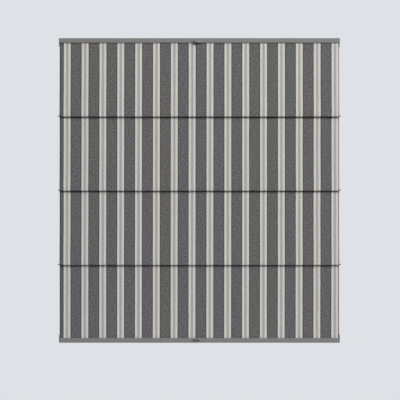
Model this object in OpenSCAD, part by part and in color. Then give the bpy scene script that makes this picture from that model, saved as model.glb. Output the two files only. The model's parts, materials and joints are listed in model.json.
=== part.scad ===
// Roman blind with a moving top rail and a moving bottom rail.
// The origin is in the middle of the upper fixing plane, on the line of the fixing screws.
// X runs along the rails, the front faces -Y and Z points up.

/* [Overall] */
// Width over the rails and their end caps
blind_w = 1000; // [600:5:1400]
// Height from the upper to the lower fixing plane
blind_h = 1084; // [800:1:1600]

/* [Rails] */
// Height of each rail
rail_h = 16.5; // [14:0.5:22]
// Thickness of the outer walls of the rails
rail_wall = 1.6; // [1.2:0.1:2.2]
// Thickness of the inner walls of the rails
rail_web = 1.2; // [1:0.1:2]
// Depth of metal in front of the welt groove
rail_front_t = 1.2; // [1:0.1:6]
// Radius of the long edges of the rails
rail_edge_r = 0.8; // [0.4:0.1:2]
// Width of the open channel that takes the shoes
channel_w = 8.4; // [7.6:0.2:12]
// Width of the slot that the cloth leaves by
slot_w = 2.4; // [1.8:0.1:3]
// Thickness of the lips beside the slot
slot_lip_t = 1.6; // [1.2:0.1:2.4]
// Thickness of the end caps
cap_t = 2; // [1.2:0.2:4]
// Length of the plugs on the end caps
cap_plug_l = 12; // [6:1:20]

/* [Cloth] */
// Thickness of the cloth
cloth_t = 0.6; // [0.4:0.1:0.9]
// How far the cloth stops short of the rails' ends
cloth_inset = 2.5; // [1:0.5:8]
// Height of the full width strip of cloth beside each rail
strip_h = 15; // [8:1:30]
// How much lower the last panel is than the others
last_panel_less = 4; // [0:0.5:20]
// How far each fold stands out in front of the cloth
fold_d = 9.5; // [8:0.5:14]
// Diameter of the welt rods in the cloth's edges
welt_dia = 2.4; // [2:0.1:3.6]

/* [Fold rods] */
// Diameter of the hollow fold rods
rod_dia = 4; // [3.4:0.2:5]
// Wall of the hollow fold rods
rod_wall = 0.8; // [0.5:0.1:1]
// Length of the rod tips past the cloth
tip_l = 4.5; // [3:0.5:8]
// How far a tip stands out round its rod
tip_rim = 0.7; // [0.3:0.1:1.2]
// Length of the spigots that hold the tips in the rods
tip_spigot_l = 10; // [6:1:20]

/* [Cord guiding] */
// Distance of the cord holes from the rails' ends
cord_inset = 80; // [50:5:150]
// Diameter of the cords that the holes are made for
cord_dia = 1.2; // [0.8:0.1:1.8]
// Length of the guide blocks in the rails
guide_l = 14; // [10:1:16]
// Wall of the guide spigots and of the cord eyes
eye_wall = 1.4; // [1:0.1:2]
// Height of the cord eyes
eye_h = 4; // [3:0.5:8]
// Width of the pads under the cord eyes
eye_pad_w = 12; // [8:1:20]
// Height of the pads under the cord eyes
eye_pad_h = 8; // [6:0.5:10]
// Thickness of the pads under the cord eyes
eye_pad_t = 1.2; // [0.8:0.1:2]

/* [Tension shoes] */
// Height of the shoes
shoe_h = 6.2; // [5.2:0.1:7]
// Diameter of the fixing screws
screw_dia = 3.5; // [3:0.5:4]
// Diameter of the fixing screws' heads
screw_head_dia = 6; // [5:0.5:6.5]
// Distance from the cord hole to the screw hole of a shoe
screw_offset = 12; // [11:0.5:18]
// Length of a shoe past the middle of each of its holes
shoe_end = 5; // [4:0.5:8]
// Radius of the shoes' upright edges
shoe_r = 2; // [0.5:0.5:3]
// Depth of the pocket for the end of the cord
shoe_pocket_h = 3; // [2:0.5:4]

/* [Grips] */
// Width of the plates that hold the finger grips
grip_w = 28; // [26:1:60]
// Thickness of the plates
grip_plate_t = 1; // [0.8:0.1:2]
// Radius of the plates' free corners
grip_r = 3; // [1:0.5:5]
// Height of the rail's face left free past the plate
grip_margin = 2; // [1:0.5:2.5]
// How far the plates reach past the sides of the tongues
grip_side = 1.5; // [1:0.5:3]
// How far the tongues stand out in front of the rails
grip_reach = 9; // [7:0.5:16]
// Rise of the bowed front of the tongues
grip_bow = 3; // [1:0.5:4]
// Thickness of the tongues
grip_tongue_t = 5; // [2.5:0.1:6]
// Thickness of the tongues at their sides
grip_side_t = 1.5; // [1:0.1:1.8]
// Thickness of the lips in front of the tongues
grip_lip_t = 2; // [1.6:0.1:3]
// How far the lips hang past the rails' edges
grip_lip = 0.5; // [0.3:0.1:4]
// Distance of the grips from the middle of the rails
grip_shift = -6.5; // [-60:0.5:60]
// Diameter of the pins that hold the grips
grip_pin_dia = 2.6; // [2:0.1:3]
// Distance between the two pins of a grip
grip_pin_gap = 16; // [10:1:20]

/* [Clearances] */
// Gap round pieces that are pushed together
fit_gap = 0.1; // [0.05:0.05:0.2]
// Gap round the shoes in the rails
nest_gap = 0.4; // [0.3:0.1:0.8]
// Gap round the cloth
soft_gap = 0.3; // [0.2:0.05:0.5]
// Gap round the cords
cord_gap = 0.4; // [0.2:0.1:0.8]

/* [Hidden] */

// Left and right along X
LEFT = -1;
RIGHT = 1;
SIDES = [LEFT, RIGHT];

// The cloth has three folds, which part it into four panels
FOLDS = 3;
PANELS = FOLDS + 1;

// Straight steps in a rounded corner
CORNER_STEPS = 5;

// How far cutters reach past the surface that they open
CUT = 1;

$fn = 48;

METAL = [0.51, 0.51, 0.50];
PLASTIC = [0.50, 0.50, 0.49];
CLOTH = [0.47, 0.46, 0.45];
NYLON = [0.86, 0.86, 0.84];
ROD_GREY = [0.62, 0.62, 0.61];

// The welt, the cloth round it and the groove of the rail lie round one centre
welt_r = welt_dia / 2;
hem_ri = welt_r + soft_gap;
hem_ro = hem_ri + cloth_t;
groove_r = hem_ro + soft_gap;

// Depths in a rail, from back to front
rail_back = channel_w / 2 + rail_wall;
cloth_y = -channel_w / 2 - rail_web - groove_r;
rail_front = cloth_y - groove_r - rail_front_t;

// Heights in the top rail, and the bottom rail mirrors them
groove_z = -rail_h + slot_lip_t + groove_r;
chamber_hi = -rail_wall;
chamber_lo = groove_z + groove_r + rail_web;
channel_z = -rail_h + rail_wall;

// Lengths along X
rail_l = blind_w - 2 * cap_t;
welt_l = rail_l - 2 * soft_gap;
cloth_w = blind_w - 2 * cloth_inset;
rod_l = cloth_w + 2 * soft_gap;
cord_x = blind_w / 2 - cord_inset;

// The pocket that holds a rod in a fold, measured from the foot of the fold
pocket_ri = rod_dia / 2 + soft_gap;
pocket_ro = pocket_ri + cloth_t;
pocket_rm = pocket_ri + cloth_t / 2;
pocket_y = cloth_y - fold_d + pocket_ro;
pocket_z = pocket_ro;

// A panel runs into the front of its fold's pocket, and the next one leaves it at this angle
LOWER_ANGLE = -45;
fold_in = [pocket_y - pocket_rm, pocket_z];
fold_out = [pocket_y, pocket_z] + pocket_rm * [cos(LOWER_ANGLE), sin(LOWER_ANGLE)];

panel_pitch = (blind_h - 2 * rail_h + last_panel_less) / PANELS;
function fold_z(k) = -rail_h - k * panel_pitch;

// The two ends of the cloth between the rails
cloth_hi = -rail_h - soft_gap;
cloth_lo = -blind_h + rail_h + soft_gap;

// Guides and shoes share the channel
cord_bore_r = cord_dia / 2 + cord_gap;
spigot_r = cord_bore_r + eye_wall;
guide_w = channel_w - 2 * fit_gap;
guide_h = rail_h - rail_wall - shoe_h - nest_gap;
shoe_w = channel_w - 2 * nest_gap;
screw_r = screw_dia / 2 + fit_gap;
head_r = screw_head_dia / 2 + fit_gap;
knot_r = cord_dia + cord_gap;

// The eyes hang on the back of the cloth below each fold
eye_r = cord_bore_r + eye_wall;
eye_pad_y = cloth_y + cloth_t / 2 + soft_gap;
eye_pad_drop = soft_gap + cloth_t;

// Points of a quarter turn round c, from angle a
function corner(c, r, a) = [
    for (i = [0 : CORNER_STEPS])
        c + r * [cos(a + 90 * i / CORNER_STEPS), sin(a + 90 * i / CORNER_STEPS)]
];

// A box with four rounded corners
function rounded_box(lo, hi, r) = concat(
    corner([hi.x - r, hi.y - r], r, 0),
    corner([lo.x + r, hi.y - r], r, 90),
    corner([lo.x + r, lo.y + r], r, 180),
    corner([hi.x - r, lo.y + r], r, 270)
);

// Direction across a path at point i, long enough to keep the sheet's thickness in a bend
function unit(v) = v / norm(v);
function across(v) = [-v.y, v.x];
function before(p, i) = across(unit(p[i] - p[i - 1]));
function after(p, i) = across(unit(p[i + 1] - p[i]));
function mitre(a, b) = (a + b) / (1 + a * b);
function side_step(p, i) =
    i == 0 ? after(p, i) :
    i == len(p) - 1 ? before(p, i) :
    mitre(before(p, i), after(p, i));

// The outline of a sheet of thickness t along path p
function sheet(p, t) = concat(
    [for (i = [0 : len(p) - 1]) p[i] + side_step(p, i) * t / 2],
    [for (i = [len(p) - 1 : -1 : 0]) p[i] - side_step(p, i) * t / 2]
);

// The way back from the pocket of a fold at height z to the flat cloth
function fold_return(z) = [[fold_out.x, z + fold_out.y], [cloth_y, z + fold_out.y]];

// The cloth leaves the strip beside the top rail upright, and starts a little inside it
top_start = [[cloth_y, cloth_hi - strip_h + cloth_t], [cloth_y, cloth_hi - 2 * strip_h]];

// The path of panel k, which leans forward from its upper end to the fold below it
function panel_path(k) = concat(
    k == 1 ? top_start : fold_return(fold_z(k - 1)),
    [k == PANELS ? [cloth_y, cloth_lo + strip_h - cloth_t] : [fold_in.x, fold_z(k) + fold_in.y]]
);

// Draws a side view, Y across and Z up, and makes it l long along X
module along_x(l) {
    rotate([90, 0, 90])
        linear_extrude(height = l, center = true)
            children();
}

// Puts a piece of the top rail at the bottom, upside down
module at_bottom() {
    translate([0, 0, -blind_h])
        mirror([0, 0, 1])
            children();
}

module rail_outline() {
    polygon(rounded_box([rail_front, -rail_h], [rail_back, 0], rail_edge_r));
}

module channel_section(gap, top) {
    translate([-channel_w / 2 + gap, channel_z + gap])
        square([channel_w - 2 * gap, top - channel_z - gap]);
}

module chamber_section(gap) {
    translate([rail_front + rail_wall + gap, chamber_lo + gap])
        square([
            -channel_w / 2 - rail_web - rail_front - rail_wall - 2 * gap,
            chamber_hi - chamber_lo - 2 * gap
        ]);
}

module groove_section() {
    translate([cloth_y, groove_z])
        circle(r = groove_r);
    translate([cloth_y - slot_w / 2, -rail_h - CUT])
        square([slot_w, groove_z + rail_h + CUT]);
}

// The extruded rail, with holes for the guides in its floor and for the grip in its face
module rail() {
    color(METAL)
    difference() {
        along_x(rail_l)
            difference() {
                rail_outline();
                channel_section(0, CUT);
                chamber_section(0);
                groove_section();
            }
        for (side = SIDES)
            translate([side * cord_x, 0, -rail_h - CUT])
                cylinder(r = spigot_r + fit_gap, h = rail_wall + 2 * CUT);
        grip_pins(CUT, fit_gap);
    }
}

// The end cap, a plate with one plug in the channel and one in the front chamber
module cap(side) {
    color(PLASTIC)
    union() {
        translate([side * (rail_l + cap_t) / 2, 0, 0])
            along_x(cap_t)
                rail_outline();
        translate([side * (rail_l / 2 - cap_plug_l / 2 + cap_t / 4), 0, 0])
            along_x(cap_plug_l + cap_t / 2) {
                channel_section(fit_gap, -rail_edge_r);
                chamber_section(fit_gap);
            }
    }
}

// The guide, a block on the floor of the channel with a spigot through it
module guide(side) {
    color(NYLON)
    translate([side * cord_x, 0, channel_z])
    difference() {
        union() {
            linear_extrude(height = guide_h)
                square([guide_l, guide_w], center = true);
            translate([0, 0, -rail_wall])
                cylinder(r = spigot_r, h = rail_wall + guide_h / 2);
        }
        translate([0, 0, -rail_wall - CUT])
            cylinder(r = cord_bore_r, h = rail_wall + guide_h + 2 * CUT);
        translate([0, 0, guide_h - eye_wall])
            cylinder(r1 = cord_bore_r, r2 = cord_bore_r + eye_wall, h = eye_wall);
    }
}

// The pins of a grip, or with a gap the holes for them
module grip_pins(overlap, gap) {
    for (side = SIDES)
        translate([
            grip_shift + side * grip_pin_gap / 2,
            rail_front - overlap,
            (chamber_lo + chamber_hi) / 2
        ])
            rotate([-90, 0, 0])
                cylinder(r = grip_pin_dia / 2 + gap, h = overlap + rail_wall + gap);
}

// Radius of a bow with chord w and a given rise
function bow_r(w, rise) = (w * w / 4 + rise * rise) / (2 * rise);

// The plate of a grip on the rail's face, square at the rail's edge
module grip_plate() {
    half_w = grip_w / 2;
    translate([grip_shift, rail_front, 0])
        rotate([90, 0, 0])
            linear_extrude(height = grip_plate_t)
                polygon(concat(
                    [[-half_w, -rail_h], [half_w, -rail_h]],
                    corner([half_w - grip_r, -grip_margin - grip_r], grip_r, 0),
                    corner([-half_w + grip_r, -grip_margin - grip_r], grip_r, 90)
                ));
}

// Front view of a tongue, flat on top and bowed below
module tongue_front(w) {
    rise = grip_tongue_t + grip_lip - grip_side_t;
    r = bow_r(w, rise);
    intersection() {
        translate([0, grip_tongue_t - grip_side_t - rise + r])
            circle(r = r);
        translate([-w / 2, -grip_lip - CUT])
            square([w, grip_tongue_t + grip_lip + CUT]);
    }
}

// The tongue, turned about the middle of its bowed front, with a lip that hangs lowest there
module grip_tongue() {
    w = grip_w - 2 * grip_side;
    r = bow_r(w, grip_bow);
    nose = grip_lip_t / 2;
    intersection() {
        translate([grip_shift, rail_front - grip_reach + r, -rail_h])
            rotate_extrude()
                polygon(concat(
                    [[0, grip_tongue_t], [0, 0], [r - grip_lip_t, 0]],
                    [[r - grip_lip_t, -grip_lip - CUT], [r, -grip_lip - CUT]],
                    corner([r - nose, grip_tongue_t - nose], nose, 0)
                ));
        translate([grip_shift, rail_front, -rail_h])
            rotate([90, 0, 0])
                linear_extrude(height = grip_reach + CUT)
                    tongue_front(w);
    }
}

module grip() {
    color(PLASTIC)
    union() {
        grip_plate();
        grip_tongue();
        grip_pins(grip_plate_t / 2, 0);
    }
}

module welt() {
    color(NYLON)
    translate([0, cloth_y, groove_z])
        rotate([0, 90, 0])
            cylinder(r = welt_r, h = welt_l, center = true);
}

// The shoe, with the screw hole outside and the cord hole inside
module shoe(side) {
    color(NYLON)
    translate([side * cord_x, 0, -shoe_h])
    mirror([side == LEFT ? 1 : 0, 0, 0])
    difference() {
        linear_extrude(height = shoe_h)
            polygon(rounded_box(
                [-shoe_end, -shoe_w / 2],
                [screw_offset + shoe_end, shoe_w / 2],
                shoe_r
            ));
        translate([0, 0, -CUT])
            cylinder(r = cord_bore_r, h = shoe_h + 2 * CUT);
        translate([0, 0, shoe_h - shoe_pocket_h])
            cylinder(r = knot_r, h = shoe_pocket_h + CUT);
        translate([screw_offset, 0, -CUT])
            cylinder(r = screw_r, h = shoe_h + 2 * CUT);
        translate([screw_offset, 0, 0])
            cylinder(r1 = head_r, r2 = screw_r, h = head_r - screw_r);
    }
}

module fold_rod(k) {
    color(ROD_GREY)
    translate([0, pocket_y, fold_z(k) + pocket_z])
        rotate([0, 90, 0])
            difference() {
                cylinder(d = rod_dia, h = rod_l, center = true);
                cylinder(d = rod_dia - 2 * rod_wall, h = rod_l + 2 * CUT, center = true);
            }
}

// Half section of a rod tip, with its rounded head outside the rod
module tip_section() {
    head = rod_dia / 2 + tip_rim;
    round = min(tip_l, head) / 2;
    stem = rod_dia / 2 - rod_wall - fit_gap;
    polygon(concat(
        [[0, -tip_spigot_l], [stem, -tip_spigot_l], [stem, 0], [head, 0]],
        corner([head - round, tip_l - round], round, 0),
        [[0, tip_l]]
    ));
}

module rod_tips(k) {
    color(PLASTIC)
    for (side = SIDES)
        translate([side * rod_l / 2, pocket_y, fold_z(k) + pocket_z])
            rotate([0, side * 90, 0])
                rotate_extrude()
                    tip_section();
}

// The eyes on the back of the cloth, each with a sewn pad, a neck and a ring for the cord
module cord_eyes(k) {
    color(NYLON)
    for (side = SIDES)
        translate([side * cord_x, 0, fold_z(k) - eye_pad_drop - eye_pad_h / 2])
        difference() {
            union() {
                cylinder(r = eye_r, h = eye_h, center = true);
                translate([-eye_wall, eye_pad_y, -eye_h / 2])
                    cube([2 * eye_wall, -eye_pad_y, eye_h]);
                translate([-eye_pad_w / 2, eye_pad_y, -eye_pad_h / 2])
                    cube([eye_pad_w, eye_pad_t, eye_pad_h]);
            }
            cylinder(r = cord_bore_r, h = eye_h + 2 * CUT, center = true);
        }
}

// The edge of the cloth in a rail, sewn round the welt
module cloth_edge() {
    along_x(welt_l)
        difference() {
            union() {
                translate([cloth_y, groove_z])
                    circle(r = hem_ro);
                translate([cloth_y - cloth_t / 2, cloth_hi - cloth_t])
                    square([cloth_t, groove_z - cloth_hi + cloth_t]);
            }
            translate([cloth_y, groove_z])
                circle(r = hem_ri);
        }
    along_x(blind_w)
        translate([cloth_y - cloth_t / 2, cloth_hi - strip_h])
            square([cloth_t, strip_h]);
}

// The cloth, one sheet from welt to welt with a rod pocket in each fold
module fabric() {
    color(CLOTH)
    union() {
        cloth_edge();
        at_bottom()
            cloth_edge();
        along_x(cloth_w)
            difference() {
                union() {
                    for (k = [1 : PANELS])
                        polygon(sheet(panel_path(k), cloth_t));
                    for (k = [1 : FOLDS])
                        translate([pocket_y, fold_z(k) + pocket_z])
                            circle(r = pocket_ro);
                }
                for (k = [1 : FOLDS])
                    translate([pocket_y, fold_z(k) + pocket_z])
                        circle(r = pocket_ri);
            }
    }
}

fabric();

rail();  // top_rail
cap(LEFT);  // top_cap_left
cap(RIGHT);  // top_cap_right
guide(LEFT);  // top_guide_left
guide(RIGHT);  // top_guide_right
grip();  // top_grip
welt();  // top_welt

at_bottom() rail();  // bottom_rail
at_bottom() cap(LEFT);  // bottom_cap_left
at_bottom() cap(RIGHT);  // bottom_cap_right
at_bottom() guide(LEFT);  // bottom_guide_left
at_bottom() guide(RIGHT);  // bottom_guide_right
at_bottom() grip();  // bottom_grip
at_bottom() welt();  // bottom_welt

shoe(LEFT);  // upper_shoe_left
shoe(RIGHT);  // upper_shoe_right
at_bottom() shoe(LEFT);  // lower_shoe_left
at_bottom() shoe(RIGHT);  // lower_shoe_right

fold_rod(1);  // fold_rod_1
fold_rod(2);  // fold_rod_2
fold_rod(3);  // fold_rod_3
rod_tips(1);  // rod_tips_1
rod_tips(2);  // rod_tips_2
rod_tips(3);  // rod_tips_3
cord_eyes(1);  // cord_eyes_1
cord_eyes(2);  // cord_eyes_2
cord_eyes(3);  // cord_eyes_3
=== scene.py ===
# %% [markdown]
# # A roman blind between two moving rails
# The blind is one striped cloth with three folds. A thin rod lies in each fold, and the
# cloth's ends sit in the slots of two slim rails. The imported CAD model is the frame: it
# gives every size and place, and this lesson dresses it. Hard pieces keep their CAD shape
# and get a finish, while the cloth is built anew as thin sheets.

# %% Load the frame and keep its box
import json
import math

import bmesh
import bpy
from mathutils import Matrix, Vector
from mathutils.geometry import tessellate_polygon


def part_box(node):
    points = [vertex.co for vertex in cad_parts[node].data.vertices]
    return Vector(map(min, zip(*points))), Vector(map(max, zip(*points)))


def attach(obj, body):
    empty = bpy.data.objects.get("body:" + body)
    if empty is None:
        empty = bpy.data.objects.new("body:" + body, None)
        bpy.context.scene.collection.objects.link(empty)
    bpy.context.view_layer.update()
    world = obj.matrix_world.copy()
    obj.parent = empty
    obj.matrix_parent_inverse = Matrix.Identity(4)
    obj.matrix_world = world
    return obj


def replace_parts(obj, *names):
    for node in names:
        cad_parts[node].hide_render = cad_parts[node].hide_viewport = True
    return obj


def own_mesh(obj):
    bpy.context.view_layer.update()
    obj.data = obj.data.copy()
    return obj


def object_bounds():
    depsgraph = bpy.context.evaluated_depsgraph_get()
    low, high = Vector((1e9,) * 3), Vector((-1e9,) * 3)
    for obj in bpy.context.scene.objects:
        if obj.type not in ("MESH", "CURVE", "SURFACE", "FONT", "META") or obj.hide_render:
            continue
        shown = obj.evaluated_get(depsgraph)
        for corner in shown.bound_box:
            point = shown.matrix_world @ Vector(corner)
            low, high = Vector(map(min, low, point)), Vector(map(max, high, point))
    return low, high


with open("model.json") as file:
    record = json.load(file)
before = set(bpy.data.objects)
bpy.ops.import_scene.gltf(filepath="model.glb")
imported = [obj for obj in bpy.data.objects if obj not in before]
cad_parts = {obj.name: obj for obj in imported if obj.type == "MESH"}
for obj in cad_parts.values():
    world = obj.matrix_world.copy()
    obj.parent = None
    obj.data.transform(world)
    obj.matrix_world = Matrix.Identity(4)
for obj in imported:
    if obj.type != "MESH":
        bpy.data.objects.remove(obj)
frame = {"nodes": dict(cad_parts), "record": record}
nodes = frame["nodes"]
cad_low, cad_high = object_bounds()
print("CAD box in metres:", [round(c, 4) for c in (*cad_low, *cad_high)])

# %% [markdown]
# ## Sizes of the cloth
# The rods and welts are already in place, so the cloth's path is read from their boxes
# instead of being typed in again. Only what no hard piece shows is written here: how thick
# the cloth is, how loosely it lies round the rods, and how wide its hems are.

# %% Read the places of rails, rods and welts
MM = 0.001
CLOTH_T = 0.6 * MM
SOFT_GAP = 0.3 * MM
SIDE_TUCK = 0.4 * MM
OFF_GRAIN = 0.0010
FOLDS = (1, 2, 3)


def middle(node):
    low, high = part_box(node)
    return (low + high) / 2


def radius(node):
    low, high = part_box(node)
    return (high.z - low.z) / 2


cloth_y = middle("top_welt").y
cloth_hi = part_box("top_rail")[0].z - SOFT_GAP
cloth_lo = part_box("bottom_rail")[1].z + SOFT_GAP
rail_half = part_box("top_cap_right")[1].x
cloth_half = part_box("fold_rod_1")[1].x - SOFT_GAP - SIDE_TUCK
welt_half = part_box("top_welt")[1].x

pocket_ri = radius("fold_rod_1") + SOFT_GAP
pocket_ro = pocket_ri + CLOTH_T
pocket_rm = pocket_ri + CLOTH_T / 2
rods = {k: middle(f"fold_rod_{k}") for k in FOLDS}
feet = {k: rods[k].z - pocket_ro for k in FOLDS}
lip_y = rods[1].y - pocket_rm
cloth_mid = (cloth_hi + cloth_lo) / 2


def off_grain(z):
    """How far the stripes have run aside at a height, because the cloth is cut off its grain."""
    return (cloth_mid - z) * OFF_GRAIN


print("cloth half width", round(cloth_half, 4), "feet of the folds", feet)

# %% [markdown]
# ## Shader arithmetic
# Patterns such as stripes are sums and products of coordinates. Linking Math nodes by hand
# hides that, so one small class wraps a socket: `1 - mask` or `a * b` adds the Math node,
# and `add` brings in any other node. The same class serves shaders and geometry trees.

# %% A wire from a node's socket
class Wire:
    """An output socket of a node tree, or the bare tree at the start of an expression."""

    def __init__(self, tree, socket=None):
        self.tree = tree
        self.socket = socket

    def add(self, kind, settings=None, inputs=None, out=0):
        node = self.tree.nodes.new(kind)
        for name, value in (settings or {}).items():
            setattr(node, name, value)
        for key, value in (inputs or {}).items():
            if isinstance(value, Wire):
                self.tree.links.new(value.socket, node.inputs[key])
            else:
                node.inputs[key].default_value = value
        return Wire(self.tree, node.outputs[out] if len(node.outputs) else None)

    def also(self, out):
        return Wire(self.tree, self.socket.node.outputs[out])

    def maths(self, operation, *values):
        return self.add("ShaderNodeMath", {"operation": operation}, dict(enumerate(values)))

    def vector(self, operation, *values):
        return self.add("ShaderNodeVectorMath", {"operation": operation}, dict(enumerate(values)))

    def __add__(self, other):
        return self.maths("ADD", self, other)

    def __sub__(self, other):
        return self.maths("SUBTRACT", self, other)

    def __rsub__(self, other):
        return self.maths("SUBTRACT", other, self)

    def __mul__(self, other):
        return self.maths("MULTIPLY", self, other)

    def __truediv__(self, other):
        return self.maths("DIVIDE", self, other)

    __radd__ = __add__
    __rmul__ = __mul__

    def ramp(self, low, high, to_low=0.0, to_high=1.0, kind="SMOOTHSTEP"):
        inputs = {"Value": self, "From Min": low, "From Max": high, "To Min": to_low, "To Max": to_high}
        return self.add("ShaderNodeMapRange", {"interpolation_type": kind}, inputs)

    def mix(self, first, second):
        """From first to second colour, with this wire as the share of the second."""
        return self.add("ShaderNodeMix", {"data_type": "RGBA"}, {0: self, 6: first, 7: second}, 2)

    def noise(self, place, scale, detail=2.0):
        inputs = {"Vector": place, "Scale": scale, "Detail": detail, "Roughness": 0.55}
        return self.add("ShaderNodeTexNoise", {}, inputs)


def srgb(red, green, blue):
    """A colour read off as 8-bit values, as the linear colour that a shader takes."""
    def linear(c):
        c /= 255
        return c / 12.92 if c <= 0.04045 else ((c + 0.055) / 1.055) ** 2.4
    return (linear(red), linear(green), linear(blue), 1.0)


def new_material(name):
    """An empty material with its Principled shader, and a wire to start expressions from."""
    material = bpy.data.materials.new(name)
    material.use_nodes = True
    shader = material.node_tree.nodes["Principled BSDF"]
    return material, shader, Wire(material.node_tree)


def feed(shader, name, value):
    """Gives a shader's input a constant, or links a wire that varies over the surface."""
    if isinstance(value, Wire):
        value.tree.links.new(value.socket, shader.inputs[name])
    else:
        shader.inputs[name].default_value = value


def bump(start, height, distance, strength=1.0):
    inputs = {"Height": height, "Distance": distance, "Strength": strength}
    return start.add("ShaderNodeBump", {}, inputs)


print("shader arithmetic is ready")

# %% [markdown]
# ## The striped cloth
# The cloth is woven in even stripes: dark grey, broken by narrow light stripes with cream
# edges and a grey middle. The stripes run along the warp, so their colour depends only on
# the place across the cloth. Every sheet carries an attribute with its flat coordinates,
# across and along the cut cloth, so the pattern follows the cloth round folds and hems. The
# outermost few millimetres at each side are darkened: painted shade of the edge curling away from the
# light.

# %% Stripe layout and yarn colours
STRIPE_PITCH = 63.55 * MM
FIRST_STRIPE = -470.75 * MM
LIGHT_HALF = 12.05 * MM
LIGHT_SOFT = 0.5 * MM
MIDDLE_HALF = 4.3 * MM
MIDDLE_SOFT = 2.2 * MM
EDGE_LINE = 3.0 * MM
EDGE_SOFT = 1.5 * MM
DARK_YARN = srgb(97, 97, 98)
DARK_EDGE = srgb(82, 82, 83)
CREAM_YARN = srgb(206, 200, 193)
MIDDLE_YARN = srgb(162, 162, 161)
# Painted shade at the cloth's side edges: its width, its soft start and how much darker it is
PAINTED_EDGE_SHADE_W = 4.5 * MM
PAINTED_EDGE_SHADE_SOFT = 2 * MM
PAINTED_EDGE_SHADE_DARK = 0.26


def flat_place(start):
    """The flat coordinates of the cloth, across and along, in metres."""
    place = start.add("ShaderNodeAttribute", {"attribute_name": "cloth"}, None, "Vector")
    across = start.add("ShaderNodeSeparateXYZ", {}, {0: place})
    return place, across, across.also(1)


def stripe_colour(start, across):
    """The yarn colour at a place across the cloth, and the share of light yarn there."""
    turns = (across - FIRST_STRIPE) / STRIPE_PITCH + 0.5
    from_middle = (turns.maths("FRACT", turns) - 0.5) * STRIPE_PITCH
    away = start.maths("ABSOLUTE", from_middle)
    light = away.ramp(LIGHT_HALF + LIGHT_SOFT, LIGHT_HALF - LIGHT_SOFT)
    core = away.ramp(MIDDLE_HALF + MIDDLE_SOFT, MIDDLE_HALF - MIDDLE_SOFT)
    edge = away.ramp(LIGHT_HALF + EDGE_LINE + EDGE_SOFT, LIGHT_HALF + EDGE_LINE)
    ground = edge.mix(DARK_YARN, DARK_EDGE)
    stripe = core.mix(CREAM_YARN, MIDDLE_YARN)
    return light.mix(ground, stripe), light


def tint(colour, share, amount):
    """Multiplies a colour by 1 + amount * (share - 0.5) * 2."""
    factor = (share - 0.5) * (2 * amount) + 1
    triple = colour.add("ShaderNodeCombineXYZ", {}, {0: factor, 1: factor, 2: factor})
    return colour.vector("MULTIPLY", colour, triple)


print("a light stripe every", round(STRIPE_PITCH / MM, 2), "mm")

# %% [markdown]
# ## Mottle and weave
# Seen from a step away, the dark yarn is mottled, because it is spun from darker and lighter
# fibres. A noise with many octaves gives broken, soft-edged cells of a few millimetres. Long
# streaks along the warp, short ones along the weft and a fine plain weave lie over it. All of
# it also makes a shallow relief.

# %% Cloth shader
MOTTLE_CELLS = (145, 225, 1)
MOTTLE_DARK = 0.53
MOTTLE_LIGHT = 0.02
WARP_STREAKS = (1100, 14, 1)
WEFT_SLUBS = (60, 900, 1)
YARN_CONTRAST = 0.22
YARN_PITCH = 1.1 * MM
WEAVE_CONTRAST = 0.06
WEAVE_DEPTH = 0.25 * MM


def make_cloth():
    material, shader, start = new_material("striped_cloth")
    place, across, along = flat_place(start)
    colour, light = stripe_colour(start, across)
    cells = start.vector("MULTIPLY", place, MOTTLE_CELLS)
    mottle = start.noise(cells, 1, 5).ramp(0.30, 0.70, 0, 1, "LINEAR")
    warp = start.noise(start.vector("MULTIPLY", place, WARP_STREAKS), 1, 2)
    weft = start.noise(start.vector("MULTIPLY", place, WEFT_SLUBS), 1, 2)
    over = start.maths("SINE", across * (math.tau / YARN_PITCH))
    under = start.maths("SINE", along * (math.tau / YARN_PITCH))
    weave = over * under * 0.5 + 0.5
    # Painted shade: the outermost few millimetres at each side are darkened, as if the curled edge
    # faced away from the light
    from_edge = cloth_half - start.maths("ABSOLUTE", across)
    painted_edge_shade = from_edge.ramp(PAINTED_EDGE_SHADE_W, PAINTED_EDGE_SHADE_W - PAINTED_EDGE_SHADE_SOFT, 0.5, 0.0)
    colour = tint(colour, painted_edge_shade, PAINTED_EDGE_SHADE_DARK)
    colour = tint(colour, mottle, light.ramp(0, 1, MOTTLE_DARK, MOTTLE_LIGHT, "LINEAR"))
    colour = tint(colour, warp, YARN_CONTRAST)
    colour = tint(colour, weft, YARN_CONTRAST)
    colour = tint(colour, weave, WEAVE_CONTRAST)
    feed(shader, "Base Color", colour)
    feed(shader, "Roughness", 0.82 + mottle * 0.16)
    feed(shader, "Specular IOR Level", 0.15)
    feed(shader, "Sheen Weight", 0.05)
    feed(shader, "Sheen Roughness", 0.5)
    relief = weave * 0.6 + weft * 0.5 + warp * 0.4
    feed(shader, "Normal", bump(start, relief, WEAVE_DEPTH, 0.5))
    return material


cloth = make_cloth()
print("cloth material has", len(cloth.node_tree.nodes), "nodes")

# %% [markdown]
# ## Thread
# Hems and rod pockets are sewn with a thin clear thread, which takes the colour of the
# cloth under it. So the thread's shader reads the same stripes, a little darker and glossier.

# %% Thread shader
def make_thread():
    material, shader, start = new_material("clear_thread")
    place = start.add("ShaderNodeTexCoord", {}, None, "Object")
    across = start.add("ShaderNodeSeparateXYZ", {}, {0: place})
    colour, _ = stripe_colour(start, across)
    twist = start.noise(start.vector("MULTIPLY", place, (2500, 2500, 2500)), 1, 1)
    feed(shader, "Base Color", tint(colour, twist, 0.25))
    feed(shader, "Roughness", 0.35 + twist * 0.2)
    feed(shader, "Normal", bump(start, twist, 0.05 * MM))
    return material


thread = make_thread()
print("thread material has", len(thread.node_tree.nodes), "nodes")

# %% [markdown]
# ## Finishes of the hard pieces
# The rails are extruded aluminium with a satin grey coat: faint draw lines run along them.
# Caps, grips and rod tips are moulded plastic of the same grey with a fine grain. Guides,
# shoes, eyes and welts are milky nylon, and the rods are plain drawn tube.

# %% Satin metal and drawn tube
DRAW_LINES = (2, 1300, 1300)
DRAW_DEPTH = 0.02 * MM


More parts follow.
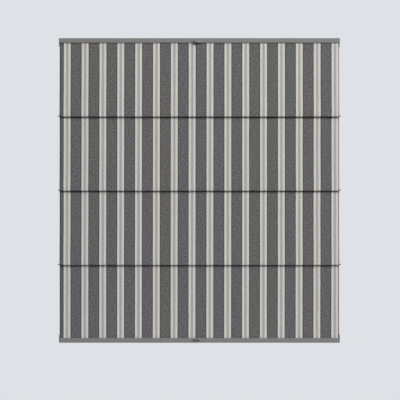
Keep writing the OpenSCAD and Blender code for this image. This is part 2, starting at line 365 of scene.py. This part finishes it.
def make_metal(name, colour, metallic, roughness, lines):
    """Metal with draw lines along X."""
    material, shader, start = new_material(name)
    place = start.add("ShaderNodeTexCoord", {}, None, "Object")
    drawn = start.noise(start.vector("MULTIPLY", place, DRAW_LINES), 1, 2)
    cloudy = start.noise(place, 14, 3)
    grain = start.noise(place, 1800, 1)
    base = start.add("ShaderNodeRGB", {}, None)
    base.socket.default_value = colour
    base = tint(tint(base, drawn, lines), cloudy, 0.06)
    feed(shader, "Base Color", base)
    feed(shader, "Metallic", metallic)
    feed(shader, "Roughness", roughness - 0.08 + cloudy * 0.08 + drawn * 0.08)
    feed(shader, "Normal", bump(start, drawn + grain * 0.5, DRAW_DEPTH, 0.6))
    return material


rail_metal = make_metal("rail_metal", srgb(117, 117, 115), 0.0, 0.52, 0.05)
rod_metal = make_metal("rod_metal", srgb(160, 160, 158), 1.0, 0.32, 0.12)
print("metals:", rail_metal.name, rod_metal.name)


# %% Moulded plastic and nylon
def make_plastic(name, colour, roughness, grain_size, grain_height, coat):
    """Moulded plastic with a fine spark-eroded grain."""
    material, shader, start = new_material(name)
    place = start.add("ShaderNodeTexCoord", {}, None, "Object")
    grain = start.noise(place, 1 / grain_size, 2)
    cloudy = start.noise(place, 40, 3)
    base = start.add("ShaderNodeRGB", {}, None)
    base.socket.default_value = colour
    feed(shader, "Base Color", tint(tint(base, cloudy, 0.07), grain, 0.06))
    feed(shader, "Roughness", roughness - 0.06 + grain * 0.12)
    feed(shader, "Coat Weight", coat)
    feed(shader, "Coat Roughness", 0.3)
    feed(shader, "Normal", bump(start, grain, grain_height, 0.7))
    return material


grey_plastic = make_plastic("grey_plastic", srgb(118, 118, 117), 0.60, 0.5 * MM, 0.04 * MM, 0.0)
white_nylon = make_plastic("white_nylon", srgb(226, 226, 221), 0.38, 1.2 * MM, 0.03 * MM, 0.15)
print("plastics:", grey_plastic.name, white_nylon.name)

# %% Dress the CAD nodes
FINISH = {
    "rail_metal": rail_metal,
    "rod_metal": rod_metal,
    "grey_plastic": grey_plastic,
    "white_nylon": white_nylon,
}
dressed = 0
for part in frame["record"]["subparts"]:
    if part["material_slot"] in FINISH:
        for slot in nodes[part["node"]].material_slots:
            slot.material = FINISH[part["material_slot"]]
            dressed += 1
print("dressed", dressed, "material slots of CAD nodes")

# %% [markdown]
# ## Geometry trees
# A panel of the cloth follows a rule: a grid that leans forward and turns its sides to the
# back as hems. Rules like that are what Geometry Nodes are for. The tree is built here, its
# inputs are set by their identifiers, and the result is turned into a plain mesh so that
# nothing stays live.

# %% Helpers for geometry trees
KINDS = {float: "NodeSocketFloat", int: "NodeSocketInt", tuple: "NodeSocketVector"}


class Tree:
    """A geometry node group with named inputs."""

    def __init__(self, name, inputs):
        self.group = bpy.data.node_groups.new(name, "GeometryNodeTree")
        face = self.group.interface
        face.new_socket(name="Geometry", in_out="OUTPUT", socket_type="NodeSocketGeometry")
        self.keys = {}
        for label, kind in inputs.items():
            socket = face.new_socket(name=label, in_out="INPUT", socket_type=KINDS.get(kind, kind))
            self.keys[label] = socket.identifier
        self.start = Wire(self.group)
        self.inputs = self.start.add("NodeGroupInput")

    def __getitem__(self, label):
        return self.inputs.also(label)

    def close(self, geometry, material):
        real = self.start.add("GeometryNodeRealizeInstances", {}, {0: geometry})
        named = {"Geometry": real, "Material": material}
        done = self.start.add("GeometryNodeSetMaterial", {}, named)
        self.start.add("NodeGroupOutput", {}, {0: done})

    def grow(self, name, values):
        """Runs the tree once and returns its result as a plain mesh object."""
        obj = bpy.data.objects.new(name, bpy.data.meshes.new(name))
        bpy.context.scene.collection.objects.link(obj)
        modifier = obj.modifiers.new(name, "NODES")
        modifier.node_group = self.group
        for label, value in values.items():
            modifier[self.keys[label]] = value
        settle(obj)
        return obj


def settle(obj):
    """Turns an object and its modifiers into a plain mesh, and removes the modifiers."""
    depsgraph = bpy.context.evaluated_depsgraph_get()
    mesh = bpy.data.meshes.new_from_object(
        obj.evaluated_get(depsgraph), preserve_all_data_layers=True, depsgraph=depsgraph
    )
    mesh.name = obj.name
    obj.modifiers.clear()
    obj.data = mesh


def smooth(obj, angle=40):
    obj.data.shade_smooth()
    obj.data.set_sharp_from_angle(angle=math.radians(angle))


print("geometry tree helpers are ready")

# %% [markdown]
# ## The flat panels
# Between two folds the cloth hangs flat, leans a few millimetres forward to the next fold,
# and has a narrow hem turned to the back on each side. Real cloth is never a perfect plane,
# so a slow, shallow wave runs through each panel and dies out at rails and folds. Its side
# edges curl back a little, and those of a leaning panel pull in between the rods.

# %% Panel tree
HEM_W = 12 * MM
HEM_R = 0.36 * MM
EDGE_W = 6 * MM
EDGE_CURL = 2 * MM
PULL_IN = 0.35 * MM
BODY_SHARE = 0.80
EDGE_SHARE = 0.88
TURN_SHARE = 0.94
HELD_SHARE = 0.08
WAVE_SCALE = 7
PANEL_INPUTS = {
    "Top": float, "Bottom": float, "Lean Top": float, "Lean Bottom": float, "Lean": float,
    "Pull": float, "Path Start": float, "Wave": float, "Wave Seed": float, "Columns": int,
    "Rows": int, "Material": "NodeSocketMaterial",
}


def make_panel_tree():
    tree = Tree("cloth_panel", PANEL_INPUTS)
    start = tree.start
    grid = start.add("GeometryNodeMeshGrid", {}, {
        "Size X": 2.0, "Size Y": 1.0, "Vertices X": tree["Columns"], "Vertices Y": tree["Rows"],
    })
    spot = start.add("ShaderNodeSeparateXYZ", {}, {0: start.add("GeometryNodeInputPosition")})
    side = start.maths("SIGN", spot)
    share = start.maths("ABSOLUTE", spot)
    down = 0.5 - spot.also(1)
    height = tree["Top"] + (tree["Bottom"] - tree["Top"]) * down

    body = share.ramp(0, BODY_SHARE, 0, cloth_half - EDGE_W, "LINEAR")
    body = body + share.ramp(BODY_SHARE, EDGE_SHARE, 0, EDGE_W - HEM_R, "LINEAR")
    turn = share.ramp(EDGE_SHARE, TURN_SHARE, 0, math.pi, "LINEAR")
    hem = share.ramp(TURN_SHARE, 1, 0, HEM_W, "LINEAR")
    out = body + start.maths("SINE", turn) * HEM_R - hem
    behind = (1 - start.maths("COSINE", turn)) * HEM_R
    curl = out.ramp(cloth_half - EDGE_W, cloth_half, 0, 1, "LINEAR")
    free = down.ramp(0, HELD_SHARE) * down.ramp(1, 1 - HELD_SHARE)
    behind = behind + curl * curl * free * EDGE_CURL

    calm = start.maths("SINE", down * math.pi)
    wide = side * (out - calm * tree["Pull"] * out.ramp(0, cloth_half, 0, 1, "LINEAR"))
    lean = height.ramp(tree["Lean Top"], tree["Lean Bottom"], 0, tree["Lean"], "LINEAR")
    place = start.add("ShaderNodeCombineXYZ", {}, {0: wide, 1: tree["Wave Seed"], 2: height * 1.6})
    ripple = (start.noise(place, WAVE_SCALE, 1) - 0.5) * calm * tree["Wave"]
    depth = cloth_y - lean + behind + ripple
    flat = side * (body + turn * HEM_R + hem) + off_grain(height)
    along = tree["Path Start"] + (tree["Top"] - height)
    named = start.add("GeometryNodeStoreNamedAttribute", {"data_type": "FLOAT_VECTOR"}, {
        "Geometry": grid, "Name": "cloth",
        "Value": start.add("ShaderNodeCombineXYZ", {}, {0: flat, 1: along}),
    })
    moved = start.add("GeometryNodeSetPosition", {}, {
        "Geometry": named,
        "Position": start.add("ShaderNodeCombineXYZ", {}, {0: wide, 1: depth, 2: height}),
    })
    tree.close(moved, tree["Material"])
    return tree


panel_tree = make_panel_tree()
print("panel tree has", len(panel_tree.group.nodes), "nodes")

# %% Grow the four panels
SEAM_ABOVE = 12 * MM
SEAM_BELOW = 3 * MM
UPRIGHT = 30 * MM
WAVE = 1.1 * MM
WAVE_STEP = 3.7
PATH_STEP = 0.3
PANEL_COLUMNS = 201
PANEL_ROWS = 29
PANELS = (1, 2, 3, 4)
return_z = rods[1].z - feet[1] - pocket_rm * math.sin(math.pi / 4)
lean_full = cloth_y - lip_y


def lean_ends(k):
    """The heights between which panel k leans forward, and how far."""
    top = cloth_hi - UPRIGHT if k == 1 else feet[k - 1] + return_z
    bottom = cloth_lo if k == 4 else rods[k].z
    return top, bottom, 0.0 if k == 4 else lean_full


def lean_at(k, z):
    top, bottom, lean = lean_ends(k)
    share = min(max((top - z) / (top - bottom), 0), 1)
    return cloth_y - lean * share


def panel_ends(k):
    top = cloth_hi if k == 1 else feet[k - 1] - SEAM_BELOW
    bottom = cloth_lo if k == 4 else feet[k] + SEAM_ABOVE
    return top, bottom


panels = {}
for k in PANELS:
    top, bottom = panel_ends(k)
    lean_top, lean_bottom, lean = lean_ends(k)
    piece = panel_tree.grow(f"cloth_panel_{k}", {
        "Top": top, "Bottom": bottom, "Lean Top": lean_top, "Lean Bottom": lean_bottom,
        "Lean": lean, "Pull": PULL_IN if lean else 0.0, "Path Start": PATH_STEP * k,
        "Wave": WAVE, "Wave Seed": WAVE_STEP * k, "Columns": PANEL_COLUMNS, "Rows": PANEL_ROWS,
        "Material": cloth,
    })
    wall = piece.modifiers.new("thickness", "SOLIDIFY")
    wall.thickness = CLOTH_T
    wall.offset = 0
    settle(piece)
    smooth(piece)
    panels[k] = piece
    print(piece.name, "faces", len(piece.data.polygons), "height", round(top - bottom, 4))

# %% [markdown]
# ## The folds
# At each fold the cloth runs round a rod, back to the plane of the blind and on into the
# next panel. The section is the same all the
# way along, so it is drawn once as an outline with a round hole and swept along X.

# %% Sweep a section along X
SWEEP_COLUMNS = 120
ARC_STEP = math.radians(9)


def arc(centre, r, first, last):
    """Points round a centre in the Y-Z plane, from the first to the last angle."""
    steps = max(2, math.ceil(abs(last - first) / ARC_STEP))
    angles = [first + (last - first) * i / steps for i in range(steps + 1)]
    return [(centre[0] + r * math.cos(a), centre[1] + r * math.sin(a)) for a in angles]


def sweep(name, outline, hole, half, path_start, aside):
    """A closed mesh with the same Y-Z section all along X, and the cloth's flat coordinates."""
    ring = outline + hole
    count = len(ring)
    loops = [range(len(outline)), range(len(outline), count)]
    along = [path_start]
    for a, b in zip(ring, ring[1:]):
        along.append(along[-1] + math.dist(a, b))
    columns = [half * (2 * i / SWEEP_COLUMNS - 1) for i in range(SWEEP_COLUMNS + 1)]
    verts = [(x, y, z) for x in columns for y, z in ring]
    faces = []
    for i in range(SWEEP_COLUMNS):
        for loop in loops:
            for a, b in zip(loop, [*loop[1:], loop[0]]):
                faces.append((i * count + a, i * count + b, (i + 1) * count + b, (i + 1) * count + a))
    flat = [[Vector((y, z, 0)) for y, z in part] for part in (outline, hole)]
    end = SWEEP_COLUMNS * count
    for triangle in tessellate_polygon(flat):
        faces.append(tuple(triangle))
        faces.append(tuple(end + i for i in triangle))
    mesh = bpy.data.meshes.new(name)
    mesh.from_pydata(verts, [], faces)
    work = bmesh.new()
    work.from_mesh(mesh)
    bmesh.ops.recalc_face_normals(work, faces=work.faces)
    work.to_mesh(mesh)
    work.free()
    place = mesh.attributes.new("cloth", "FLOAT_VECTOR", "POINT")
    place.data.foreach_set("vector", [c for x in columns for v in along for c in (x + aside, v, 0)])
    mesh.materials.append(cloth)
    piece = bpy.data.objects.new(name, mesh)
    bpy.context.scene.collection.objects.link(piece)
    smooth(piece)
    return piece


# %% Draw the fold's section
CORNER_R = 1.2 * MM
FOLD_PATH = 0.25


def fold_outline(k):
    """The cloth of fold k from the panel above it to the panel below it, round its rod."""
    y, z, t = rods[k].y, rods[k].z, CLOTH_T / 2
    above, below = feet[k] + SEAM_ABOVE, feet[k] - SEAM_BELOW
    upper_y, lower_y = lean_at(k, above), lean_at(k + 1, below)
    back_z = feet[k] + return_z
    corner = (cloth_y - CORNER_R, back_z - CORNER_R)

    def ring_angle(rise):
        return math.asin(rise / pocket_ro)

    inner_in = math.pi - math.acos(pocket_ri / pocket_ro)
    bottom_out = math.tau + ring_angle(back_z - t - z)
    top_out = math.tau + ring_angle(back_z + t - z)
    outline = [(upper_y - t, above)]
    outline += arc((y, z), pocket_ro, math.pi, bottom_out)
    outline += arc(corner, CORNER_R - t, math.pi / 2, 0)
    outline += [(lower_y - t, below), (lower_y + t, below)]
    outline += arc(corner, CORNER_R + t, 0, math.pi / 2)
    outline += arc((y, z), pocket_ro, top_out, math.tau + inner_in)
    outline += [(upper_y + t, above)]
    hole = arc((y, z), pocket_ri, 0, math.tau)[:-1]
    return outline, hole


folds = {}
for k in FOLDS:
    aside = off_grain(rods[k].z)
    path_start = PATH_STEP * k + FOLD_PATH
    folds[k] = sweep(f"cloth_fold_{k}", *fold_outline(k), cloth_half, path_start, aside)
    print(folds[k].name, "faces", len(folds[k].data.polygons))

# %% [markdown]
# ## The hems in the rails
# The cloth's upper and lower edges are sewn round a welt, a thin nylon rod that can't slip
# out of the rail's slot. Only a thin line of each hem shows under its rail, but the same
# sweep makes them as full as the folds. The neck ends a hair short of the panel, so that the
# two don't cut into each other when the panel gathers up.

# %% Draw and sweep the welt hems
hem_ri = radius("top_welt") + SOFT_GAP
hem_ro = hem_ri + CLOTH_T
SEAM_GAP = 0.05 * MM
TOP_PATH = 0.1
BOTTOM_PATH = 1.7


def welt_outline(welt, edge):
    """The hem round a welt, with its neck down or up to the cloth's edge."""
    place = middle(welt)
    down = math.copysign(1, edge - place.z)
    t = CLOTH_T / 2
    half_neck = math.asin(t / hem_ro)
    first = down * math.pi / 2 + half_neck
    outline = arc((cloth_y, place.z), hem_ro, first, first + math.tau - 2 * half_neck)
    side = math.copysign(t, outline[-1][0] - cloth_y)
    end = edge - down * SEAM_GAP
    outline += [(cloth_y + side, end), (cloth_y - side, end)]
    hole = arc((cloth_y, place.z), hem_ri, 0, math.tau)[:-1]
    return outline, hole


def sweep_hem(name, welt, edge, path_start):
    return sweep(name, *welt_outline(welt, edge), welt_half, path_start, off_grain(edge))


hem_top = sweep_hem("cloth_hem_top", "top_welt", cloth_hi, TOP_PATH)
hem_bottom = sweep_hem("cloth_hem_bottom", "bottom_welt", cloth_lo, BOTTOM_PATH)
print("hems round the welts have", len(hem_top.data.polygons), "faces each")

# %% [markdown]
# ## Stitches
# A running stitch is a row of small thread loops that rise out of the cloth and dip back.
# The tree lays points on a line, drops them on the sewn piece with a raycast, and turns one
# small bowed thread along the line and up from the surface at each of them.

# %% Stitch tree
RAY_L = 0.08
STITCH_INPUTS = {
    "Sewn": "NodeSocketObject", "From": tuple, "To": tuple, "Look": tuple, "Spacing": float,
    "Length": float, "Thread": float, "Seed": int, "Material": "NodeSocketMaterial",
}


def make_stitch_tree():
    tree = Tree("running_stitch", STITCH_INPUTS)
    start = tree.start
    line = start.add("GeometryNodeMeshLine", {"mode": "END_POINTS", "count_mode": "RESOLUTION"}, {
        "Resolution": tree["Spacing"], "Start Location": tree["From"], "Offset": tree["To"],
    })
    sewn = start.add("GeometryNodeObjectInfo", {}, {"Object": tree["Sewn"]}, "Geometry")
    hit = start.add("GeometryNodeRaycast", {}, {
        "Target Geometry": sewn, "Source Position": start.add("GeometryNodeInputPosition"),
        "Ray Direction": tree["Look"], "Ray Length": RAY_L,
    }, "Is Hit")
    placed = start.add("GeometryNodeSetPosition", {}, {
        "Geometry": line, "Selection": hit, "Position": hit.also("Hit Position"),
    })

    half = tree["Length"] * 0.5
    sunk = tree["Thread"] * -1.0
    bow = start.add("GeometryNodeCurveQuadraticBezier", {}, {
        "Resolution": 6,
        "Start": start.add("ShaderNodeCombineXYZ", {}, {0: half * -1.0, 2: sunk}),
        "Middle": start.add("ShaderNodeCombineXYZ", {}, {2: tree["Thread"] * 1.6}),
        "End": start.add("ShaderNodeCombineXYZ", {}, {0: half, 2: sunk}),
    })
    rim = start.add("GeometryNodeCurvePrimitiveCircle", {}, {
        "Resolution": 6, "Radius": tree["Thread"],
    })
    loop = start.add("GeometryNodeCurveToMesh", {}, {
        "Curve": bow, "Profile Curve": rim, "Fill Caps": True,
    })

    run = start.vector("SUBTRACT", tree["To"], tree["From"])
    outwards = start.vector("MULTIPLY", tree["Look"], (-1, -1, -1))
    turned = start.add("FunctionNodeAlignRotationToVector", {"axis": "X"}, {"Vector": run})
    upright = start.add("FunctionNodeAlignRotationToVector", {"axis": "Z", "pivot_axis": "X"}, {
        "Rotation": turned, "Vector": outwards,
    })
    size = start.add("FunctionNodeRandomValue", {"data_type": "FLOAT"}, {
        "Min": 0.9, "Max": 1.08, "Seed": tree["Seed"],
    }, 1)
    rows = start.add("GeometryNodeInstanceOnPoints", {}, {
        "Points": placed, "Instance": loop, "Rotation": upright, "Scale": size,
    })
    tree.close(rows, tree["Material"])
    return tree


stitch_tree = make_stitch_tree()
print("stitch tree has", len(stitch_tree.group.nodes), "nodes")

# %% [markdown]
# ## Sewing the hems, pockets and eyes
# Each panel has a row of stitches along both hems, on the front and on the back. Each rod
# pocket is closed by a row just above the rod, and each cord eye's pad is sewn down with two
# short rows. Rows on the same body are joined into one piece.

# %% Sew rows and join them
STITCH_L = 2.7 * MM
STITCH_GAP = 3.8 * MM
THREAD_R = 0.2 * MM
FRONT = (0.0, 1.0, 0.0)
BACK = (0.0, -1.0, 0.0)
STAND_OFF = 0.03


def sew(name, sewn, rows):
    """Rows of stitches on a piece, each from one X-Z point to another, seen along a direction."""
    joined = bmesh.new()
    for seed, (first, last, look) in enumerate(rows):
        y = cloth_y - STAND_OFF * look[1]
        row = stitch_tree.grow(f"{name}_row", {
            "Sewn": sewn, "From": (first[0], y, first[1]), "To": (last[0], y, last[1]),
            "Look": look, "Spacing": STITCH_GAP, "Length": STITCH_L, "Thread": THREAD_R,
            "Seed": seed, "Material": thread,
        })
        joined.from_mesh(row.data)
        bpy.data.objects.remove(row)
    mesh = bpy.data.meshes.new(name)
    joined.to_mesh(mesh)
    joined.free()
    mesh.materials.append(thread)
    piece = bpy.data.objects.new(name, mesh)
    bpy.context.scene.collection.objects.link(piece)
    mesh.shade_smooth()
    return piece


SEAM_IN = HEM_W - 2.5 * MM
END_IN = 3 * MM
hem_rows = {}
for k in PANELS:
    top, bottom = panel_ends(k)
    rows = []
    for side in (-1, 1):
        x = side * (cloth_half - SEAM_IN)
        ends = ((x, top - END_IN), (x, bottom + END_IN))
        rows += [(*ends, FRONT), (*ends, BACK)]
    hem_rows[k] = sew(f"hem_stitches_{k}", panels[k], rows)
    print(hem_rows[k].name, "faces", len(hem_rows[k].data.polygons))

# %% Sew the pockets and the pads of the eyes
POCKET_SEAM = 5.4 * MM
PAD_HALF = 6 * MM
PAD_SEAM_IN = 1.6 * MM
PAD_SEAM_TOP = 2.2 * MM
PAD_SEAM_LOW = 1.8 * MM
pocket_rows = {}
eye_rows = {}
for k in FOLDS:
    z = feet[k] + POCKET_SEAM
    x = cloth_half - END_IN
    pocket_rows[k] = sew(f"pocket_stitches_{k}", folds[k], [((-x, z), (x, z), FRONT)])
    eyes = nodes[f"cord_eyes_{k}"]
    low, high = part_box(f"cord_eyes_{k}")
    rows = []
    for pad_x in (low.x + PAD_HALF, high.x - PAD_HALF):
        for side in (-1, 1):
            x = pad_x + side * (PAD_HALF - PAD_SEAM_IN)
            rows.append(((x, high.z - PAD_SEAM_TOP), (x, low.z + PAD_SEAM_LOW), BACK))
    eye_rows[k] = sew(f"eye_stitches_{k}", eyes, rows)
    print(pocket_rows[k].name, "faces", len(pocket_rows[k].data.polygons))

# %% [markdown]
# ## How the cloth moves
# When a rail moves, the panels between it and the folds gather up while the folds keep their
# form. So each fold rides on the body of its rod and each panel on the body that holds it, and the
# share of its height that a panel keeps, when it gathers by the length that the rail or the rod below
# it travels, is worked out.

# %% Ride, and work out how far the panels gather
PANEL_BODY = {1: "fixed_frame", 2: "fixed_frame", 3: "rod_2_body", 4: "rod_3_body"}
FOLD_BODY = {1: "fixed_frame", 2: "rod_2_body", 3: "rod_3_body"}
record_joints = {j["name"]: j for j in frame["record"]["behaviour"]["joints"]}
top_travel = record_joints["top_rail_slide"]["range_m"][1]
bottom_travel = record_joints["bottom_rail_slide"]["range_m"][1] / 3


def gather(piece, k):
    """Lets a piece of panel k ride with its panel, and returns the share of its height that the panel
    keeps when it gathers.
    """
    top, bottom = panel_ends(k)
    travel = top_travel if k == 1 else bottom_travel
    keep = 1 - travel / (top - bottom)
    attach(piece, PANEL_BODY[k])
    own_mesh(piece)
    return keep


for k in PANELS:
    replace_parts(panels[k], "fabric")
    panels[k]
    hem_rows[k]
    keep = gather(panels[k], k)
    gather(hem_rows[k], k)
    top, bottom = panel_ends(k)
    flat = (2 * (cloth_half + HEM_W), top - bottom)
    panels[k]
    hem_rows[k]
    print(panels[k].name, "keeps", round(keep, 4), "of its height")


# %% Ride folds and hems
def loop_length(points):
    return sum(math.dist(a, b) for a, b in zip(points, [*points[1:], points[0]]))


def declare_swept(piece, section, body, rows=()):
    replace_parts(piece, "fabric")
    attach(piece, body)
    length = sum(loop_length(part) for part in section) / 2


for k in FOLDS:
    for rows in (pocket_rows[k], eye_rows[k]):
        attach(rows, FOLD_BODY[k])
    declare_swept(folds[k], fold_outline(k), FOLD_BODY[k], [pocket_rows[k]])
for piece, welt, edge, body in (
    (hem_top, "top_welt", cloth_hi, "top_rail_body"),
    (hem_bottom, "bottom_welt", cloth_lo, "bottom_rail_body"),
):
    declare_swept(piece, welt_outline(welt, edge), body)
print("cloth pieces ride on", sorted({*PANEL_BODY.values(), *FOLD_BODY.values()}))

# %% [markdown]
# ## Ears of the end caps
# Each end cap has a thin ear that reaches past the rail and guards the corner of the cloth.
# It is a flat plate with a rounded end, so its outline is drawn once from the side, given
# its thickness and softly bevelled. The ears of a rail are one piece and ride on that rail.

# %% Draw and place the ears
EAR_L = 13.4 * MM
EAR_ROOT = 0.5 * MM
EAR_IN = 0.15 * MM
EAR_SLACK = 2.0 * MM
EAR_BACK = 4.0 * MM
EAR_R = 2.4 * MM
EAR_BEVEL = 0.35 * MM


def make_ears(rail, body):
    """The two ears of a rail's end caps, towards the cloth."""
    low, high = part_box(rail)
    down = -1 if middle(rail).z > cloth_mid else 1
    edge = low.z if down < 0 else high.z
    root, tip = edge - down * EAR_ROOT, edge + down * EAR_L
    front, back = low.y + EAR_SLACK, cloth_y + EAR_BACK
    turn = down * math.pi / 2
    outline = [(front, root)]
    outline += arc((front + EAR_R, tip - down * EAR_R), EAR_R, down * math.pi, turn)
    outline += arc((back - EAR_R, tip - down * EAR_R), EAR_R, turn, 0)
    outline += [(back, root)]
    work = bmesh.new()
    for side in (-1, 1):
        inner, outer = side * (welt_half + EAR_IN), side * (rail_half - EAR_IN)
        rims = [[work.verts.new((x, y, z)) for y, z in outline] for x in (inner, outer)]
        work.faces.new(rims[0])
        work.faces.new(rims[1])
        for i in range(len(outline)):
            j = (i + 1) % len(outline)
            work.faces.new((rims[0][i], rims[0][j], rims[1][j], rims[1][i]))
    bmesh.ops.recalc_face_normals(work, faces=work.faces)
    mesh = bpy.data.meshes.new(f"{rail}_ears")
    work.to_mesh(mesh)
    work.free()
    mesh.materials.append(grey_plastic)
    ears = bpy.data.objects.new(mesh.name, mesh)
    bpy.context.scene.collection.objects.link(ears)
    round_off = ears.modifiers.new("soft edges", "BEVEL")
    round_off.width = EAR_BEVEL
    round_off.segments = 2
    settle(ears)
    smooth(ears)
    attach(ears, body)
    print(ears.name, "faces", len(ears.data.polygons))


make_ears("top_rail", "top_rail_body")
make_ears("bottom_rail", "bottom_rail_body")

# %% [markdown]
# ## Floor, light and camera
# The photograph is taken straight from the front in even daylight, a little stronger from the
# upper right. One large soft lamp gives the thin shadows under rails, folds and grips, a
# second one behind the blind shows its back, and a pale world fills in. Camera and glossy
# rays see a plain pale grey.

# %% Floor
PALE = srgb(222, 225, 229)
FLOOR_DROP = 0.5
FLOOR_SOLID = 0.5
FLOOR_REACH = 1.4


def make_floor():
    material, shader, start = new_material("pale_floor")
    place = start.add("ShaderNodeTexCoord", {}, None, "Object")
    patches = start.noise(place, 1.5, 2)
    base = start.add("ShaderNodeRGB", {}, None)
    base.socket.default_value = PALE
    feed(shader, "Base Color", tint(base, patches, 0.02))
    feed(shader, "Roughness", 0.8)
    flat = start.vector("MULTIPLY", place, (1, 1, 0))
    away = start.add("ShaderNodeVectorMath", {"operation": "LENGTH"}, {0: flat}, "Value")
    clear = start.add("ShaderNodeBsdfTransparent")
    faded = start.add("ShaderNodeMixShader", {}, {
        0: away.ramp(FLOOR_SOLID, FLOOR_REACH), 1: Wire(start.tree, shader.outputs[0]), 2: clear,
    })
    output = material.node_tree.nodes["Material Output"]
    start.tree.links.new(faded.socket, output.inputs["Surface"])
    mesh = bpy.data.meshes.new("floor")
    reach = FLOOR_REACH
    z = cad_low.z - FLOOR_DROP
    corners = [(-reach, -reach, z), (reach, -reach, z), (reach, reach, z), (-reach, reach, z)]
    mesh.from_pydata(corners, [], [(0, 1, 2, 3)])
    mesh.materials.append(material)
    floor = bpy.data.objects.new("floor", mesh)
    bpy.context.scene.collection.objects.link(floor)
    return floor


make_floor()

# %% World and lamp
FILL_HIGH = 0.30
FILL_LOW = 0.015
KEY_PLACE = (5.8, -6.0, 4.8)
KEY_AIM = (-1.2, 0.0, 2.4)
KEY_SIZE = 5.6
KEY_SPREAD = 120
KEY_POWER = 642
BACK_PLACE = (-3.2, 6.0, 2.4)
BACK_SIZE = 4.0
BACK_SPREAD = 180
BACK_POWER = 320


def make_world():
    world = bpy.data.worlds.new("studio")
    world.use_nodes = True
    tree = world.node_tree
    tree.nodes.clear()
    start = Wire(tree)
    rays = start.add("ShaderNodeLightPath", {}, None, "Is Camera Ray")
    seen = rays.maths("MAXIMUM", rays, rays.also("Is Glossy Ray"))
    seen = seen.maths("MAXIMUM", seen, rays.also("Is Transmission Ray"))
    way = start.add("ShaderNodeTexCoord", {}, None, "Generated")
    height = start.add("ShaderNodeSeparateXYZ", {}, {0: way}, 2)
    fill = height.ramp(-0.4, 0.5, FILL_LOW, FILL_HIGH)
    grey = start.add("ShaderNodeCombineXYZ", {}, {0: fill, 1: fill, 2: fill})
    colour = seen.mix(grey, PALE)
    shine = start.add("ShaderNodeBackground", {}, {"Color": colour, "Strength": 1.0})
    start.add("ShaderNodeOutputWorld", {}, {"Surface": shine})
    bpy.context.scene.world = world


def make_lamp(name, place, target, size, spread, power):
    light = bpy.data.lights.new(name, "AREA")
    light.shape = "DISK"
    light.size = size
    light.spread = math.radians(spread)
    light.energy = power
    lamp = bpy.data.objects.new(name, light)
    lamp.location = place
    lamp.rotation_euler = (Vector(target) - Vector(place)).to_track_quat("-Z", "Y").to_euler()
    bpy.context.scene.collection.objects.link(lamp)


make_world()
centre = (cad_low + cad_high) / 2
make_lamp("key", KEY_PLACE, KEY_AIM, KEY_SIZE, KEY_SPREAD, KEY_POWER)
make_lamp("back", BACK_PLACE, centre, BACK_SIZE, BACK_SPREAD, BACK_POWER)
print("lamps at", KEY_PLACE, "and", BACK_PLACE)

# %% Camera
VIEW_DISTANCE = 5.0
PIXELS = 400
PIXEL_MM = 3.558
ASIDE = 2.3 * MM
DROP = 34 * MM


def make_camera():
    lens = bpy.data.cameras.new("front_view")
    width = PIXELS * PIXEL_MM * MM
    lens.angle = 2 * math.atan(width / 2 / VIEW_DISTANCE)
    camera = bpy.data.objects.new("front_view", lens)
    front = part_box("top_rail")[0].y
    camera.location = (ASIDE, front - VIEW_DISTANCE, centre.z - DROP)
    camera.rotation_euler = (math.radians(90), 0, 0)
    bpy.context.scene.collection.objects.link(camera)
    bpy.context.scene.camera = camera


make_camera()
bpy.context.scene.view_settings.view_transform = "Standard"
